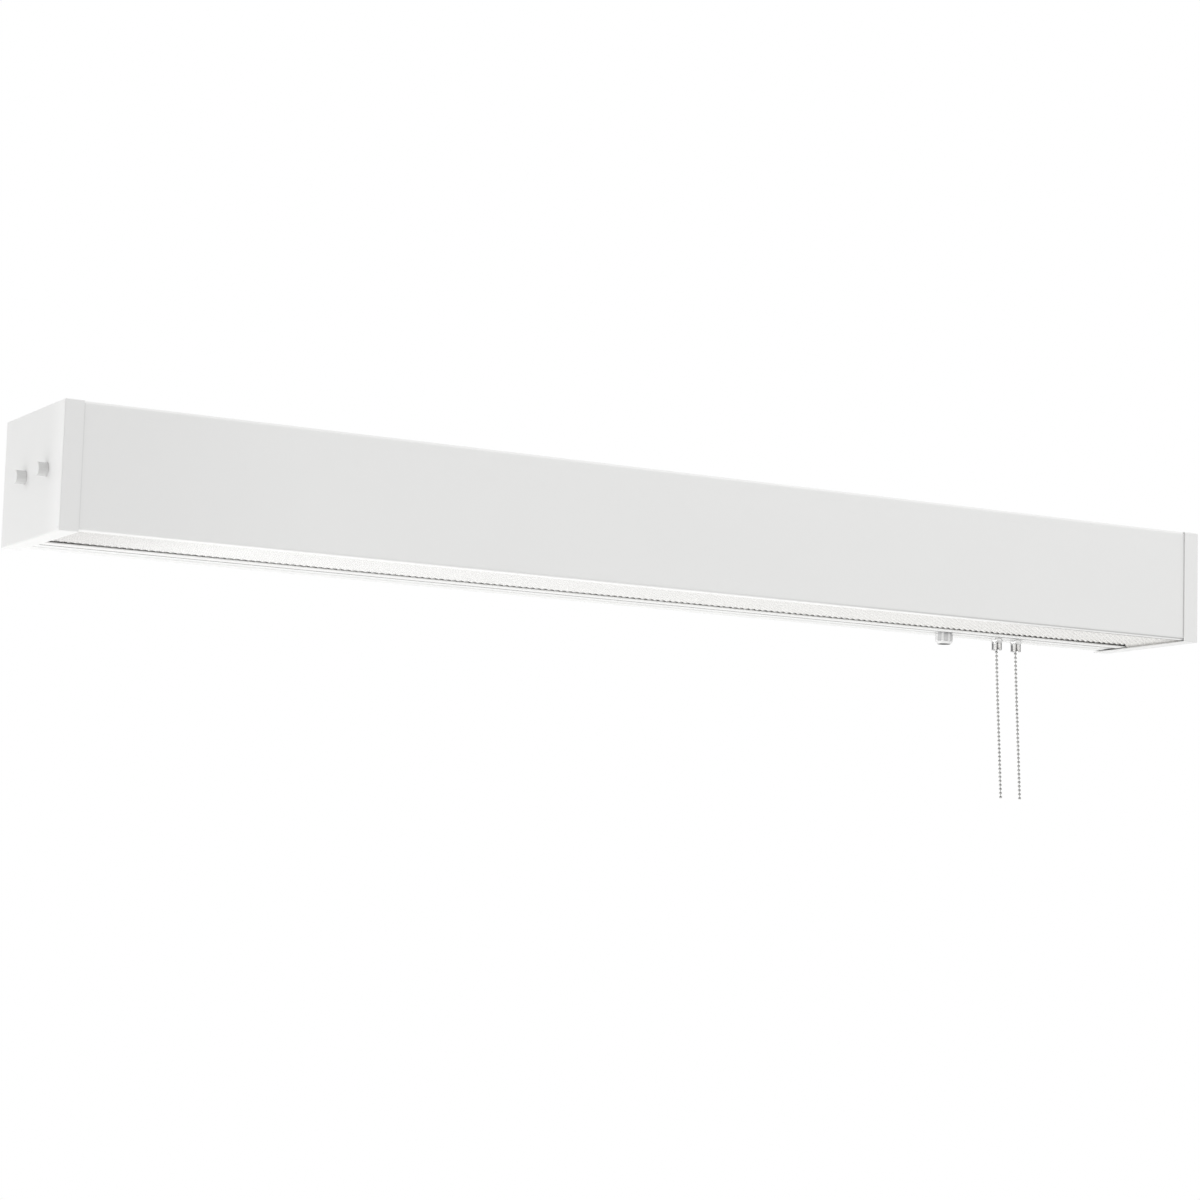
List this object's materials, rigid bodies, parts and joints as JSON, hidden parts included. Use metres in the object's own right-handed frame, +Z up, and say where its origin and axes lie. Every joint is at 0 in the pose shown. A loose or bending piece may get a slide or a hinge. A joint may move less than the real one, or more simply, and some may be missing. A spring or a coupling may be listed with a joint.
{
  "type": "overbed wall light",
  "caption": "Long white folded-steel bed-head light for a wall: prismatic down light, clear up light, bead-chain pull switches under the rear ledge and push buttons on one end.",
  "frame": {"origin": "centre of the back pan's wall face", "axes": "+X along the box to the end with the pull chains, +Y into the wall, +Z up"},
  "size_m": [1.305, 0.158, 0.2938],
  "materials": {
    "white_steel": "white powder coat, satin",
    "inner_steel": "white reflector paint",
    "prismatic_acrylic": "prismatic acrylic, moulded lattice on the lower face",
    "clear_acrylic": "clear acrylic",
    "spring_steel": "plain spring strip",
    "led_board": "white solder mask with pale yellow LED packages",
    "zinc_steel": "zinc plated",
    "brass": "plain brass",
    "driver_case": "pale grey case",
    "terminal_grey": "grey moulding",
    "line_insulation": "black insulation",
    "neutral_insulation": "white insulation",
    "ground_insulation": "green insulation",
    "black_nylon": "black nylon",
    "nickel": "bright nickel plate",
    "chain_nickel": "nickel plated beads",
    "white_nylon": "white nylon",
    "seal_rubber": "black rubber",
    "switch_black": "black phenolic",
    "button_grey": "pale grey plastic"
  },
  "bodies": {
    "housing": {"back_pan": "white_steel", "front_cover": "white_steel", "end_cap_left": "white_steel", "end_cap_right": "white_steel", "partition": "inner_steel", "led_tray": "inner_steel", "button_bracket": "inner_steel", "lens_bottom": "prismatic_acrylic", "lens_top": "clear_acrylic", "lens_clips": "spring_steel", "led_board_down_left": "led_board", "led_board_up_left": "led_board", "led_board_down_right": "led_board", "led_board_up_right": "led_board", "end_cap_nuts": "zinc_steel", "driver_nuts": "zinc_steel", "pull_locknuts": "zinc_steel", "push_switch_nuts": "zinc_steel", "ground_nut": "brass", "driver_down_light": "driver_case", "driver_up_light": "driver_case", "terminal_block": "terminal_grey", "line_wires": "line_insulation", "neutral_wires": "neutral_insulation", "ground_wires": "ground_insulation", "supply_bushing": "black_nylon", "pull_switch_left": "nickel", "pull_switch_right": "nickel", "pull_ring_nut_left": "nickel", "pull_ring_nut_right": "nickel", "gland_body": "white_nylon", "gland_nut": "white_nylon", "gland_locknut": "white_nylon", "gland_seal": "seal_rubber", "push_switch_front": "switch_black", "push_switch_rear": "switch_black"},
    "plunger_left": {"pull_plunger_left": "nickel"},
    "plunger_right": {"pull_plunger_right": "nickel"},
    "chain_left": {"pull_chain_left": "chain_nickel"},
    "chain_right": {"pull_chain_right": "chain_nickel"},
    "button_front": {"button_cap_front": "button_grey"},
    "button_rear": {"button_cap_rear": "button_grey"}
  },
  "joints": [
    {"name": "pull_left", "type": "slide", "parent": "housing", "child": "plunger_left", "axis": [0, 0, -1], "range_m": [0, 0.008], "stiffness_N_per_m": 400, "springref_m": -0.004},
    {"name": "chain_swing_left", "type": "hinge", "parent": "plunger_left", "child": "chain_left", "pos_m": [0.4748, -0.0275, -0.071], "axis": [-1, 0, 0], "range_deg": [-7, 40]},
    {"name": "pull_right", "type": "slide", "parent": "housing", "child": "plunger_right", "axis": [0, 0, -1], "range_m": [0, 0.008], "stiffness_N_per_m": 400, "springref_m": -0.004},
    {"name": "chain_swing_right", "type": "hinge", "parent": "plunger_right", "child": "chain_right", "pos_m": [0.5003, -0.0275, -0.071], "axis": [-1, 0, 0], "range_deg": [-7, 40]},
    {"name": "press_front", "type": "slide", "parent": "housing", "child": "button_front", "axis": [1, 0, 0], "range_m": [0, 0.003], "stiffness_N_per_m": 700, "springref_m": -0.002},
    {"name": "press_rear", "type": "slide", "parent": "housing", "child": "button_rear", "axis": [1, 0, 0], "range_m": [0, 0.003], "stiffness_N_per_m": 700, "springref_m": -0.002}
  ]
}
